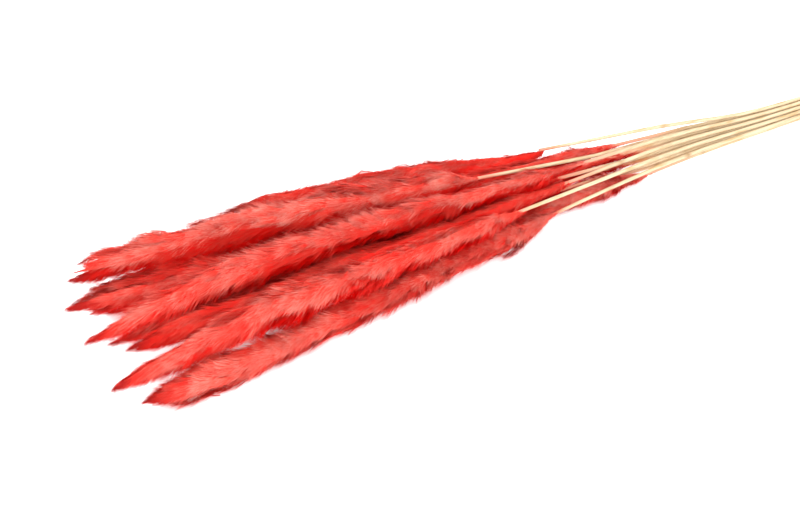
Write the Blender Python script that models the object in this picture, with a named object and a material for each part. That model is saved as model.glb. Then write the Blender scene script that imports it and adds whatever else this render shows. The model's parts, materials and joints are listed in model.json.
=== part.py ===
# A bunch of small dyed pampas grass that lies on its side.
# X runs along the bunch, from the plume tips to the cut ends; Z is up from the surface it lies on.
import math

import bmesh
import bpy
import numpy as np

MM = 0.001

# The bunch
BUNCH_LENGTH = 0.700
GAP = 0.0003
STATION_STEP = 0.010

# One stem: a dry reed, a little thicker at its joint and towards its cut end
STEM_RADIUS = 0.0014
STEM_TOP_RADIUS = 0.0011
THICKENS_OVER = 0.120
STEM_SIDES = 6
STEM_RING_STEP = 0.026
JOINT_RADIUS = 0.0017
JOINT_HALF_LENGTH = 0.0035
CUT_END_SPREAD = 0.012
CUT_END_STEP = 0.61

# One plume: a soft spindle of locks that point to its tip
PLUME_SIDES = 12
PLUME_RINGS = 18
RING_CROWDING = 1.25
PLUME_TIP_RADIUS = 0.0026
PLUME_FOOT_RADIUS = 0.0026
FULL_FROM = 0.24
TIP_BLUNTNESS = 0.42
LOCK_LENGTH = 0.062
LOCK_DEPTH = 0.17
LOCK_COLUMNS = 4
LOCK_STAGGER = 1.5
LOCK_OFFSET_STEP = 0.37
FLATTENED = 0.0008

# The rubber band, wound round the stems in turns that lie side by side
BAND_PLACE = 0.640
BAND_TURNS = 4
BAND_TURN_WIDTH = 0.0026
BAND_THICKNESS = 0.0015
BAND_GROOVE = 0.0007
BAND_SIDES = 20
BAND_LIFT = 0.002
BAND_ACROSS = -0.003

# Before the band the stems lie in a slanting sheet, three layers deep, and each next stem takes the
# next of these layers. At each place along it, in millimetres: x, the sheet's middle (y, z), its width,
# how far apart its layers are, and how far the uppermost stem stands clear of the others
SHEET_SLANT = (0.632, 0.775)
SHEET_LAYERS = (0, -1, 1)
SHEETS = (
    (440, 4.5, 16.1, 26.9, 6.0, 3.3),
    (490, 5.8, 12.7, 22.2, 3.6, 1.1),
    (530, 3.8, 10.6, 17.6, 3.1, 0.0),
    (590, 0.6, 9.4, 14.4, 3.1, 0.0),
)

# The stems run straight through the band and fan out again to their cut ends
STRAIGHT_HALF_LENGTH = 0.015
CUT_END_FAN = 1.6

# Settling the stalks side by side
SETTLE_ROUNDS = 900
EASED_OUT_AFTER = 720
PULL_TO_PLACE = 0.02
STIFFNESS = 0.30
PACKING_ROUNDS = 400
PACKING_SQUEEZE = 0.02
CLEARANCE = 0.0005

# Each stalk: places along the middle of its plume as (x, y, z), from the tip to the foot, and the
# plume's largest radius, all in millimetres; the share of its length where it begins to thin towards
# its foot, and how late it thins from there; where the joint of its stem is, in millimetres; and the
# stem's rank across the sheet, counted from the lowest.
NEAR_STALKS = (
    (((28, -41, 10), (92, -44, 11), (155, -37, 11), (200, -25, 11), (245, -16, 11), (288, -18, 12),
      (334, -8, 11)), 11.4, 0.86, 1.2, 470, 1),
    (((17, -27, 17), (73, -36, 23), (149, -32, 26), (205, -20, 27), (298, -19, 26)),
     11.0, 0.50, 1.4, 385, 4),
    (((34, -14, 30), (86, -19, 35), (131, -16, 37), (211, -12, 33), (332, -13, 29)),
     10.0, 0.50, 1.2, 405, 7),
    (((15, -2, 36), (57, 3, 43), (114, -4, 46), (168, -9, 46), (231, -9, 42), (352, -3, 32)),
     10.8, 0.50, 1.2, 500, 10),
)
FAR_STALKS = (
    (((16, 37, 31), (53, 34, 34), (126, 24, 34), (212, 12, 31), (330, 3, 27)), 9.0, 0.42, 1.4, 425, 6),
    (((27, 49, 47), (60, 43, 55), (97, 34, 58), (148, 23, 55), (196, 16, 51), (240, 12, 47),
      (293, 10, 42)), 11.4, 0.60, 1.4, 430, 11),
    (((148, 74, 34), (184, 64, 31), (236, 49, 31), (290, 34, 32), (356, 24, 33)),
     9.4, 0.60, 1.2, 455, 13),
    (((120, 54, 25), (180, 48, 24), (250, 34, 25), (330, 20, 28), (407, 11, 29)),
     8.2, 0.55, 1.2, 480, 12),
)
LOW_STALKS = (
    (((190, 0, 8), (262, -2, 8), (346, -5, 8), (414, -7, 7)), 7.5, 0.45, 0.8, 490, 0),
    (((44, 3, 13), (100, 6, 12), (206, 8, 13), (330, 0, 18)), 8.4, 0.45, 1.2, 380, 3),
    (((34, 22, 9), (96, 30, 10), (216, 26, 10), (372, 6, 12)), 9.0, 0.50, 1.2, 446, 2),
    (((40, 58, 9), (106, 52, 10), (216, 42, 10), (386, 11, 13)), 9.2, 0.50, 1.2, 430, 5),
    (((80, 82, 8), (140, 74, 8), (240, 57, 8), (396, 18, 15)), 9.6, 0.50, 1.2, 478, 8),
    (((36, 50, 31), (100, 42, 25), (190, 27, 20), (376, 9, 22)), 8.0, 0.50, 1.2, 420, 9),
)
STALKS = NEAR_STALKS + FAR_STALKS + LOW_STALKS


def clear_scene():
    for thing in list(bpy.data.objects):
        bpy.data.objects.remove(thing, do_unlink=True)


def material(name, colour, roughness):
    made = bpy.data.materials.new(name)
    made.use_nodes = True
    shader = made.node_tree.nodes["Principled BSDF"]
    shader.inputs["Base Color"].default_value = (*colour, 1.0)
    shader.inputs["Roughness"].default_value = roughness
    shader.inputs["Metallic"].default_value = 0.0
    return made


def plume_material():
    return material("plume", (0.78, 0.06, 0.05), 0.9)


def stem_material():
    return material("stem", (0.80, 0.64, 0.38), 0.6)


def band_material():
    return material("band", (0.66, 0.50, 0.30), 0.7)


def plume_radius(stalk, x):
    """Radius of a plume at x: it has a blunt tip, a full middle and a thin foot."""
    share = (x - stalk["tip"]) / (stalk["foot"] - stalk["tip"])
    share = min(1.0, max(0.0, share))
    towards_tip = min(1.0, share / FULL_FROM) ** TIP_BLUNTNESS
    thinning = max(0.0, (share - stalk["full_to"]) / (1.0 - stalk["full_to"]))
    towards_foot = thinning ** stalk["foot_taper"]
    largest = stalk["largest"]
    body = largest * towards_tip + (PLUME_FOOT_RADIUS - largest) * towards_foot
    return max(PLUME_TIP_RADIUS, body)


def stem_radius(stalk, x):
    """Radius of a stem at x: it thickens below the plume and bulges at its joint."""
    share = min(1.0, (x - stalk["foot"]) / THICKENS_OVER)
    plain = STEM_TOP_RADIUS + (STEM_RADIUS - STEM_TOP_RADIUS) * share
    bulge = max(0.0, 1.0 - abs(x - stalk["joint"]) / JOINT_HALF_LENGTH)
    return plain + (JOINT_RADIUS - STEM_RADIUS) * bulge


def through_points(knots, x):
    """A smooth curve through (x, value) knots, read at each x."""
    xs = np.array([knot[0] for knot in knots])
    values = np.array([knot[1] for knot in knots])
    slopes = np.gradient(values, xs)
    place = np.clip(np.searchsorted(xs, x, side="right") - 1, 0, len(xs) - 2)
    span = xs[place + 1] - xs[place]
    t = np.clip((x - xs[place]) / span, 0.0, 1.0)
    start = (1 + 2 * t) * (1 - t) ** 2 * values[place] + t * (1 - t) ** 2 * span * slopes[place]
    finish = t ** 2 * (3 - 2 * t) * values[place + 1] - t ** 2 * (1 - t) * span * slopes[place + 1]
    return start + finish


def read_stalk(places, largest, full_to, foot_taper, joint, rank):
    """One stalk's hand-set places and sizes, in metres."""
    return {
        "knots": [np.array(place) * MM for place in places],
        "tip": places[0][0] * MM,
        "foot": places[-1][0] * MM,
        "largest": largest * MM,
        "full_to": full_to,
        "foot_taper": foot_taper,
        "joint": joint * MM,
        "rank": rank,
    }


class Bunch:
    """The run of every stalk, as its centre's (y, z) and its radius at stations along X."""

    def __init__(self):
        self.x = np.arange(0.0, BUNCH_LENGTH + STATION_STEP / 2, STATION_STEP)
        shape = (len(STALKS), len(self.x))
        self.place = np.zeros((*shape, 2))
        self.radius = np.zeros(shape)
        self.present = np.zeros(shape, dtype=bool)
        self.stalks = [read_stalk(*stalk) for stalk in STALKS]
        self.slots = self.packed_slots()
        for number in range(len(STALKS)):
            self.lay_out(number)
        self.wanted = self.place.copy()
        self.settle()

    def sheet_place(self, rank, sheet):
        """The (x, y, z) where the stem of this rank passes through the sheet."""
        x, y, z, width, layer_gap, apart = sheet
        last = len(STALKS) - 1
        across = (rank / last - 0.5) * width + (apart if rank == last else 0.0)
        deep = SHEET_LAYERS[rank % len(SHEET_LAYERS)] * layer_gap
        slant_y, slant_z = SHEET_SLANT
        place = (x, y + slant_y * across + slant_z * deep, z + slant_z * across - slant_y * deep)
        return np.array(place) * MM

    def packed_slots(self):
        """Where the stems lie inside the band, packed round its centre in the order of the sheet."""
        slots = np.array([self.sheet_place(stalk["rank"], SHEETS[-1])[1:] for stalk in self.stalks])
        slots -= slots.mean(axis=0)
        spacing = 2 * STEM_RADIUS + CLEARANCE
        for turn in range(PACKING_ROUNDS):
            slots *= 1.0 - PACKING_SQUEEZE * (1.0 - turn / PACKING_ROUNDS)
            for first in range(len(slots)):
                for second in range(first + 1, len(slots)):
                    between = slots[second] - slots[first]
                    distance = max(np.hypot(*between), 1e-6)
                    move = between / distance * max(0.0, spacing - distance) / 2
                    slots[first] -= move
                    slots[second] += move
        lowest = slots[:, 1].min() - STEM_RADIUS - GAP - BAND_THICKNESS - BAND_LIFT
        return slots + np.array((BAND_ACROSS, -lowest)) - np.array((slots[:, 0].mean(), 0.0))

    def stem_knots(self, rank, slot):
        """The places one stem passes on its way from the plume to its cut end."""
        centre = self.slots.mean(axis=0)
        in_sheet = [self.sheet_place(rank, sheet) for sheet in SHEETS]
        fanned = centre + (slot - centre) * CUT_END_FAN
        lowest = centre[1] + (self.slots[:, 1].min() - centre[1]) * CUT_END_FAN
        fanned[1] -= lowest - STEM_RADIUS
        return in_sheet + [
            np.array((BAND_PLACE - STRAIGHT_HALF_LENGTH, *slot)),
            np.array((BAND_PLACE + STRAIGHT_HALF_LENGTH, *slot)),
            np.array((BUNCH_LENGTH, *fanned)),
        ]

    def lay_out(self, number):
        """Set one stalk's first run through its knots, and its radius at each station."""
        stalk = self.stalks[number]
        knots = stalk["knots"] + self.stem_knots(stalk["rank"], self.slots[number])
        for axis in (1, 2):
            values = [(knot[0], knot[axis]) for knot in knots]
            self.place[number, :, axis - 1] = through_points(values, self.x)
        self.present[number] = self.x > stalk["tip"] - STATION_STEP
        for station, x in enumerate(self.x):
            if x < stalk["foot"]:
                self.radius[number, station] = plume_radius(stalk, x)
            elif abs(x - stalk["joint"]) < 2 * STATION_STEP:
                self.radius[number, station] = JOINT_RADIUS
            else:
                self.radius[number, station] = STEM_RADIUS

    def settle(self):
        """Press the stalks into place until none touches another or dips below the surface."""
        for turn in range(SETTLE_ROUNDS):
            ease = max(0.0, 1.0 - turn / EASED_OUT_AFTER)
            self.place += (self.wanted - self.place) * PULL_TO_PLACE * ease
            self.straighten()
            self.push_apart()
            self.lift_off_surface()

    def straighten(self):
        """Ease out bends, and keep the stems in place from the sheet to their cut ends."""
        inner = self.present[:, :-2] & self.present[:, 1:-1] & self.present[:, 2:]
        between = (self.place[:, :-2] + self.place[:, 2:]) / 2
        step = (between - self.place[:, 1:-1]) * STIFFNESS
        self.place[:, 1:-1] += step * inner[:, :, None]
        held = self.x > SHEETS[0][0] * MM - STATION_STEP / 2
        self.place[:, held] = self.wanted[:, held]

    def push_apart(self):
        for first in range(len(STALKS)):
            for second in range(first + 1, len(STALKS)):
                between = self.place[second] - self.place[first]
                distance = np.maximum(np.hypot(between[:, 0], between[:, 1]), 1e-6)
                needed = self.radius[first] + self.radius[second] + CLEARANCE
                lacking = np.maximum(0.0, needed - distance)
                lacking *= self.present[first] & self.present[second]
                weight = self.radius[first] / (self.radius[first] + self.radius[second])
                move = between * (lacking / distance)[:, None]
                self.place[first] -= move * (1 - weight)[:, None]
                self.place[second] += move * weight[:, None]

    def lift_off_surface(self):
        soft = self.radius > 2 * JOINT_RADIUS
        lowest = np.where(soft, self.radius - FLATTENED, self.radius)
        self.place[:, :, 1] = np.maximum(self.place[:, :, 1], lowest)

    def at(self, number, x):
        """Centre (y, z) of one stalk at x."""
        return [np.interp(x, self.x, self.place[number, :, axis]) for axis in (0, 1)]


def add_object(name, mesh_builder, made_material):
    mesh = bpy.data.meshes.new(name)
    mesh_builder.normal_update()
    bmesh.ops.recalc_face_normals(mesh_builder, faces=mesh_builder.faces)
    mesh_builder.to_mesh(mesh)
    mesh_builder.free()
    mesh.materials.append(made_material)
    thing = bpy.data.objects.new(name, mesh)
    bpy.context.scene.collection.objects.link(thing)
    return thing


def skin(builder, rings):
    """Join rings of vertices, one after the other, with quads."""
    for ring, following in zip(rings, rings[1:]):
        count = len(ring)
        for side in range(count):
            after = (side + 1) % count
            builder.faces.new((ring[side], ring[after], following[after], following[side]))


def lock_factor(along, column, offset):
    """How full a lock stands at a place: it lifts towards its free tip, then steps down."""
    rise = (offset + column / LOCK_COLUMNS * LOCK_STAGGER - along / LOCK_LENGTH) % 1.0
    return 1.0 - LOCK_DEPTH * (1.0 - rise)


def plume_ring(builder, bunch, number, x):
    """One ring of a plume. Its first two points are underneath, flat where the plume rests."""
    stalk = bunch.stalks[number]
    offset = LOCK_OFFSET_STEP * number % 1.0
    radius = plume_radius(stalk, x)
    centre_y, centre_z = bunch.at(number, x)
    resting = centre_z - radius < GAP
    half_side = math.pi / PLUME_SIDES
    ring = []
    for side in range(PLUME_SIDES):
        angle = -math.pi / 2 - half_side + 2 * math.pi * side / PLUME_SIDES
        column = side * LOCK_COLUMNS // PLUME_SIDES
        underneath = side < 2
        fullness = 1.0 if underneath else lock_factor(x - stalk["tip"], column, offset)
        y = centre_y + radius * fullness * math.cos(angle)
        z = centre_z + radius * fullness * math.sin(angle)
        z = 0.0 if underneath and resting else max(0.0, z)
        ring.append(builder.verts.new((x, y, z)))
    return ring


def plume(bunch, number, made_material):
    stalk = bunch.stalks[number]
    builder = bmesh.new()
    shares = np.linspace(0.0, 1.0, PLUME_RINGS) ** RING_CROWDING
    xs = stalk["tip"] + (stalk["foot"] - stalk["tip"]) * shares
    rings = [plume_ring(builder, bunch, number, x) for x in xs]
    skin(builder, rings)
    builder.faces.new(rings[0])
    builder.faces.new(rings[-1])
    bmesh.ops.triangulate(builder, faces=builder.faces)
    return add_object(f"plume_{number + 1:02d}", builder, made_material)


def stem_ring_places(stalk, cut_x):
    """Where a stem's rings stand: evenly, and three close together at its joint."""
    start = stalk["foot"] + GAP
    joint = stalk["joint"]
    count = max(2, round((cut_x - start) / STEM_RING_STEP))
    places = [x for x in np.linspace(start, cut_x, count + 1)
              if abs(x - joint) > 2 * JOINT_HALF_LENGTH]
    places += [joint - JOINT_HALF_LENGTH, joint, joint + JOINT_HALF_LENGTH]
    places += [BAND_PLACE - STATION_STEP, BAND_PLACE + STATION_STEP]
    return sorted(places)


def stem(bunch, number, made_material):
    stalk = bunch.stalks[number]
    builder = bmesh.new()
    cut_x = BUNCH_LENGTH - CUT_END_SPREAD * (CUT_END_STEP * number % 1.0)
    rings = []
    for x in stem_ring_places(stalk, cut_x):
        radius = stem_radius(stalk, x)
        centre_y, centre_z = bunch.at(number, x)
        ring = []
        for side in range(STEM_SIDES):
            angle = 2 * math.pi * side / STEM_SIDES
            y = centre_y + radius * math.cos(angle)
            z = centre_z + radius * math.sin(angle)
            ring.append(builder.verts.new((x, y, z)))
        rings.append(ring)
    skin(builder, rings)
    builder.faces.new(rings[0])
    builder.faces.new(rings[-1])
    return add_object(f"stem_{number + 1:02d}", builder, made_material)


def bundle_reach(bunch, angle):
    """How far the stems inside the band reach from the bundle's centre, seen along an angle."""
    from_centre = bunch.slots - bunch.slots.mean(axis=0)
    towards = np.array((math.cos(angle), math.sin(angle)))
    return (from_centre @ towards).max() + STEM_RADIUS


def rubber_band(bunch, made_material):
    """Turns of the band side by side: flat against the stems, and rounded outside."""
    builder = bmesh.new()
    half_width = BAND_TURNS * BAND_TURN_WIDTH / 2
    outline = [(-half_width, 0.0)]
    for turn in range(BAND_TURNS):
        start = -half_width + turn * BAND_TURN_WIDTH
        outline.append((start + BAND_TURN_WIDTH / 4, BAND_THICKNESS))
        outline.append((start + BAND_TURN_WIDTH * 3 / 4, BAND_THICKNESS))
        if turn < BAND_TURNS - 1:
            outline.append((start + BAND_TURN_WIDTH, BAND_THICKNESS - BAND_GROOVE))
    outline.append((half_width, 0.0))
    step = 2 * math.pi / BAND_SIDES
    angles = [-math.pi / 2 - step / 2 + step * side for side in range(BAND_SIDES)]
    reaches = [bundle_reach(bunch, angle) for angle in angles]
    centre = bunch.slots.mean(axis=0)
    rings = []
    for along, out in outline:
        ring = []
        for side, angle in enumerate(angles):
            reach = (reaches[side] + GAP) / math.cos(step / 2) + out
            y = centre[0] + reach * math.cos(angle)
            z = max(0.0, centre[1] + reach * math.sin(angle))
            ring.append(builder.verts.new((BAND_PLACE + along, y, z)))
        rings.append(ring)
    skin(builder, rings + rings[:1])
    return add_object("rubber_band", builder, made_material)


def centre_on_base(things):
    """Put the origin at the middle of the bunch's underside."""
    points = [vertex.co for thing in things for vertex in thing.data.vertices]
    low = [min(point[axis] for point in points) for axis in range(3)]
    high = [max(point[axis] for point in points) for axis in range(3)]
    shift = (-(low[0] + high[0]) / 2, -(low[1] + high[1]) / 2, -low[2])
    for thing in things:
        for vertex in thing.data.vertices:
            for axis in range(3):
                vertex.co[axis] += shift[axis]


def build():
    clear_scene()
    bunch = Bunch()
    plume_look = plume_material()
    stem_look = stem_material()
    things = [plume(bunch, number, plume_look) for number in range(len(STALKS))]
    things += [stem(bunch, number, stem_look) for number in range(len(STALKS))]
    things.append(rubber_band(bunch, band_material()))
    centre_on_base(things)


build()
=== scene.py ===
# A bunch of small dyed pampas grass, lying on its side.
import json
import math

import bpy
import numpy as np
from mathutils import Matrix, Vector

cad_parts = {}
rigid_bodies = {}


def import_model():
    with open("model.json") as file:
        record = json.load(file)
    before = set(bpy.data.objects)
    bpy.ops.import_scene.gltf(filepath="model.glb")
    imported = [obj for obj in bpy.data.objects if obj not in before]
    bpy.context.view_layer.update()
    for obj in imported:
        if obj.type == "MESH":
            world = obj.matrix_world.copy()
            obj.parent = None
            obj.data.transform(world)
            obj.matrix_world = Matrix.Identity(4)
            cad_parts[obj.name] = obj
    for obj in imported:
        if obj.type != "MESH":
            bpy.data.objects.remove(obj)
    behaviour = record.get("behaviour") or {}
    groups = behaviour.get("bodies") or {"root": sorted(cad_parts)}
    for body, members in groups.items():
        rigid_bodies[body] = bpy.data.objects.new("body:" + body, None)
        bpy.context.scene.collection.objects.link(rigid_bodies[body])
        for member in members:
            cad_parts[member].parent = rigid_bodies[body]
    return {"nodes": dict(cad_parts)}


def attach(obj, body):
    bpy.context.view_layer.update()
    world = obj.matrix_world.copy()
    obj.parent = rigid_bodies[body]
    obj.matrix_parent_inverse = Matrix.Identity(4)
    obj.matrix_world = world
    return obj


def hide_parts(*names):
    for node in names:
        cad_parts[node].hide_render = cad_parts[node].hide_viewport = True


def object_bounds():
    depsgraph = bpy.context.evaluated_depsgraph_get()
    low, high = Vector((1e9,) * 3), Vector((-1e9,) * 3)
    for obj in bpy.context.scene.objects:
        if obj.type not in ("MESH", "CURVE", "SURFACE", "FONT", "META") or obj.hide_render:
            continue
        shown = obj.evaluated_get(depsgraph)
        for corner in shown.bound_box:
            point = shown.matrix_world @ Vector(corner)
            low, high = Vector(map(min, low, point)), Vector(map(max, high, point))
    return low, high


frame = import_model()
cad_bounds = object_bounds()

MM = 0.001

# Camera
CAMERA_PLACE = (-0.5131, -0.5734, 0.4572)
CAMERA_AZIMUTH = -34.19
CAMERA_ELEVATION = 34.0
CAMERA_LENS = 57.2

# Plumes
PLUME_COUNT = 14
HIDDEN_PLUMES = (10, 11, 12, 13, 14)
GOLDEN_ANGLE = math.pi * (3 - math.sqrt(5))
CORE_SIDES = 10
CORE_TONE = 0.3
LEAST_CORE = 0.3 * MM

# Locks, which leave the middle line of a plume
LOCK_COUNT = 150
LOCK_POINTS = 7
LOCK_LENGTH = 46 * MM
LOCK_LENGTHS = (0.75, 1.2)
FIRST_LOCK = 0.3
LOCK_SPACING = 0.93
LOCK_SCATTER = 4 * MM
TURN_SCATTER = 0.5
LOCK_STANDS = (0.74, 1.12)
STRAYS_ABOVE = 0.95
STRAY_STAND = 0.3
LOCK_OPENING = 0.12
LOCK_BEND = 2.2
LUMPS_PER_METRE = 42.0
LUMP_OFFSET = 11 * MM

# Hairs, which leave the locks in wisps
WISPS_PER_LOCK = 28
HIDDEN_WISPS_PER_LOCK = 16
WISP_KINDS = 8
HAIRS_PER_WISP = 18
HAIR_LENGTH = 15 * MM
HAIR_LENGTHS = (0.72, 1.15)
HAIR_LIFTS = (0.35, 1.25)
SPARSE_LIFT = 0.5
HAIR_SWING = 1.9
HAIR_ROLL = 0.45
TURNED_SIDE = (0.0, 0.8)
UPWARD_TURN = 0.6
SWEEPS_PER_METRE = 38.0
LEAST_SWEEP = 0.3
SPARSE_REACH = 3 * MM
FULL_REACH = 8.8 * MM
USUAL_SAG = 1.0 * MM
SAG_BEND = 1.6
SOFTNESS = 0.88

# One wisp, for a hair length of 1
WISP_BREADTH = 0.16
ROOT_SCATTER = (0.05, 0.04)
ROOT_STEP = 0.10
TIP_SCATTER = 0.07
EDGE_SHORTNESS = 0.4
SHORTNESS = 0.25
HAIR_WIDTHS = (0.010, 0.018)
HAIR_TWIST = 0.3

# Fuzz, which goes on down the stem from the foot of a plume
FOOT_FUZZ = 38 * MM
OWN_FUZZ = {1: 10 * MM, 2: 12 * MM, 6: 1 * MM, 7: 4 * MM, 8: 22 * MM, 9: 26 * MM, 11: 48 * MM,
            12: 50 * MM, 13: 56 * MM, 14: 60 * MM}
FUZZ_RINGS = 5
FUZZ_REACH = (3.4 * MM, 0.3 * MM)
FUZZ_LOOSENESS = 0.7
FUZZ_THINNING = 0.1

# Stretches of a plume, measured from its tip
POINT = (0.0, 20 * MM)
POINT_GIRTH = 0.3
NEAR_TIP = (30 * MM, 100 * MM)
TIP_RISE = (0.0, 60 * MM)
TIP_HAIR = (0.0, 60 * MM)
TIP_HAIR_LEAST = (0.78, 0.45)
SHORT_HAIR = (0.0, 18 * MM)
SHORT_HAIR_SIZE = 0.62
DARK_TIP = (6 * MM, 34 * MM)
CLOSED_TIP = (0.0, 25 * MM)

# Stretches of a plume, measured from its foot
NEAR_FOOT = (20 * MM, 70 * MM)
FOOT_TAPER = (0.0, 22 * MM)
FOOT_RISE = (0.0, 120 * MM)
FOOT_EDGE = (-10 * MM, 20 * MM)
LOOSE_FOOT = (20 * MM, 90 * MM)
FOOT_LOOSENESS = 0.8
CLOSED_FOOT = (0.0, 15 * MM)
FUZZ_START = (0.0, 10 * MM)
FUZZ_EDGE = (0.0, 20 * MM)
FUZZ_END = (0.0, 20 * MM)
FUZZ_END_SIZE = 0.4

# Dye and painted shade: tone is the paleness of a wisp, and shade counts down to 0 in the depths,
# where the colour turns to the painted shade colour
TIP_TONE = 0.15
LOCK_TONES = 0.35
WISP_TONES = 0.13
TIP_WISPS = (0.0, 50 * MM)
TIP_WISP_TONES = 2.2
PATCHES_PER_METRE = 55.0
ROOT_SHOWN = 0.35
NEIGHBOUR_GAP = (1 * MM, 10 * MM)
# Painted light and shade: hair on the upper side of a plume is painted lighter, hair underneath and
# near the tip darker
UPPER_SIDE = (0.1, 0.8)
UPPER_SHOWN = 0.75
LOWER_SIDE = (-0.6, 0.5)
SHADED_TIP = (0.0, 30 * MM)
TIP_SHOWN = 0.5

# Colours of the painted shade in the depths and of the dye along a hair, each at the dullest and
# the palest tone
# Painted shade: a deep, strong red stands in for hair lying in shade between and under the plumes
PAINTED_SHADE_COLOURS = ((0.87, 0.002, 0.001), (0.93, 0.006, 0.004))
ROOT_DYE = ((0.62, 0.013, 0.009), (0.77, 0.047, 0.032))
BODY_DYE = ((0.62, 0.018, 0.012), (0.82, 0.102, 0.070))
# The pale tip colour is partly the dye and partly a painted highlight on the hair tips
PALE_DYE_AND_HIGHLIGHT = ((0.66, 0.037, 0.025), (0.83, 0.325, 0.260))
DARK_TIP_DYE = (0.36, 0.014, 0.012)

# Where along a hair, scaled by its painted shade, its colour turns from one to the next
PAINTED_SHADE_TO_ROOT = (0.03, ROOT_SHOWN)
ROOT_TO_BODY = (ROOT_SHOWN, 0.60)
BODY_TO_PALE = (0.52, 0.95)

# The hair keeps near the box of the solids, and above the surface
SIDE_EASE = 0.4
TOP_EASE = 0.6
LOWEST = (0.2 * MM, 1.2 * MM)

# How single plumes differ from the usual; the low paleness of plumes 5, 8, 12, 13 and 14, which lie
# deep in the pile, is painted shade
HABITS = {
    1: {"Lock reach": 0.61, "Sag": -1 * MM, "Sweep": 1.2, "Patches": 1.5, "Tip girth": 1.45,
        "Tip rise": 1 * MM, "Foot girth": 1.4, "Foot rise": -1 * MM, "Underside": 0.7,
        "Least shown": 0.35},
    2: {"Sag": 3 * MM, "Sweep": 1.2, "Tip girth": 0.6, "Tip rise": 0.5 * MM},
    3: {"Sag": 2 * MM, "Paleness and shade": 0.42},
    4: {"Tip girth": 0.7, "Tip rise": -2 * MM, "Sweep": 1.2, "Paleness and shade": 0.54},
    5: {"Tip girth": 1.6, "Tip rise": 1.5 * MM, "Paleness and shade": 0.25},
    6: {"Lock reach": 0.79, "Tip girth": 0.9, "Tip rise": -1 * MM, "Fork": 4 * MM,
        "Paleness and shade": 0.56},
    7: {"Sag": 4 * MM, "Lock reach": 0.56, "Tip rise": 4 * MM, "Foot rise": -5 * MM,
        "Foot girth": 1.3, "Foot taper": 0.9, "Least shown": 0.35},
    8: {"Lock reach": 0.95, "Foot girth": 0.8, "Foot taper": 0.3, "Paleness and shade": 0.42},
    9: {"Hair lift": 0.6, "Lumps": 1.5, "Patches": 1.8, "Lock reach": 0.85, "Underside": 0.4,
        "Foot rise": 2.5 * MM, "Foot girth": 1.9},
    11: {"Thinning": 0.3, "Fuzz girth": 2.4},
    12: {"Tip girth": 1.7, "Tip rise": -2 * MM, "Paleness and shade": 0.3, "Thinning": 0.4,
         "Fuzz girth": 1.6},
    13: {"Paleness and shade": 0.25, "Thinning": 0.4, "Foot girth": 2.0},
    14: {"Paleness and shade": 0.2, "Thinning": 0.4, "Foot girth": 2.0},
}

# Stems
REED_POINTS = 64
REED_SIDES = 12
REED_GIRTH = 0.95
REED_UNEVENNESS = 0.08
SWELLS_PER_METRE = 60.0
END_FACING = 0.8
JOINT_POINTS = (-4.0 * MM, -2.5 * MM, -1.2 * MM, 0.0, 1.2 * MM, 2.5 * MM, 4.0 * MM)
SCAR_REACH = 2.5 * MM
RAGGED_DYE = 20 * MM
RAGS_PER_METRE = 90.0
FULL_DYE = 0.85
CLEAN_STEMS = (1, 2, 6, 7)
CLEAN_DYE_REACH = 22 * MM
DYE_REACH = 75 * MM
STREAKS_PER_METRE = (14.0, 950.0, 950.0)
TAN_PATCHES_PER_METRE = (45.0, 260.0, 260.0)
STRAW_COLOURS = ((0.56, 0.42, 0.250), (0.73, 0.580, 0.385))
TAN_COLOUR = (0.52, 0.33, 0.14)
SCAR_COLOUR = (0.30, 0.15, 0.05)
SOAKED_COLOUR = (0.88, 0.17, 0.12)
INSIDE_COLOUR = (0.38, 0.24, 0.11)

# Rubber band
BAND_TURNS = 4
BAND_TURN_WIDTH = 2.6 * MM
BAND_THICKNESS = 1.5 * MM
BAND_POINTS = 72
BAND_WANDER = 0.3
WANDERS_PER_METRE = 150.0
CORD_SIDES = 12
CLOUDS_PER_METRE = 260.0
SPECKS_PER_METRE = 1900.0
RUBBER_COLOURS = ((0.52, 0.33, 0.15), (0.70, 0.49, 0.26))
SPECK_COLOUR = (0.34, 0.20, 0.09)

# Surface and light
SURFACE_REACH = 4.0
SURFACE_GLOW = 0.40
WORLD_STRENGTH = 0.97
KEY_LIGHT = {"place": (-0.65, -0.2, 1.6), "size": 0.9, "power": 17.5}
FILL_LIGHT = {"place": (-0.75, -0.85, 0.75), "size": 0.8, "power": 13.0}
WHITE = (1.0, 1.0, 1.0, 1.0)


class Value:
    """One socket of a node tree. Arithmetic on it adds the nodes that work it out."""

    def __init__(self, nodes, socket):
        self.nodes = nodes
        self.socket = socket

    def output(self, name):
        """Another output of the same node."""
        return self.nodes.output_named(self.socket.node, name)

    def is_vector(self):
        return self.socket.type == "VECTOR"

    def calculated(self, operation, first, second):
        if is_vector(first) or is_vector(second):
            return self.nodes.vector_maths(operation, first, second)
        return self.nodes.maths(operation, first, second)

    def __add__(self, other):
        return self.calculated("ADD", self, other)

    def __radd__(self, other):
        return self.calculated("ADD", other, self)

    def __sub__(self, other):
        return self.calculated("SUBTRACT", self, other)

    def __rsub__(self, other):
        return self.calculated("SUBTRACT", other, self)

    def __mul__(self, other):
        if is_vector(self) and not is_vector(other):
            return self.nodes.scaled(self, other)
        if is_vector(other) and not is_vector(self):
            return self.nodes.scaled(other, self)
        return self.calculated("MULTIPLY", self, other)

    def __rmul__(self, other):
        return self * other

    def __truediv__(self, other):
        return self.calculated("DIVIDE", self, other)

    def __rtruediv__(self, other):
        return self.calculated("DIVIDE", other, self)

    def __pow__(self, other):
        return self.calculated("POWER", self, other)


def is_vector(thing):
    """Whether a node output or a plain value has three parts."""
    if isinstance(thing, Value):
        return thing.is_vector()
    return isinstance(thing, (tuple, list))


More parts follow.
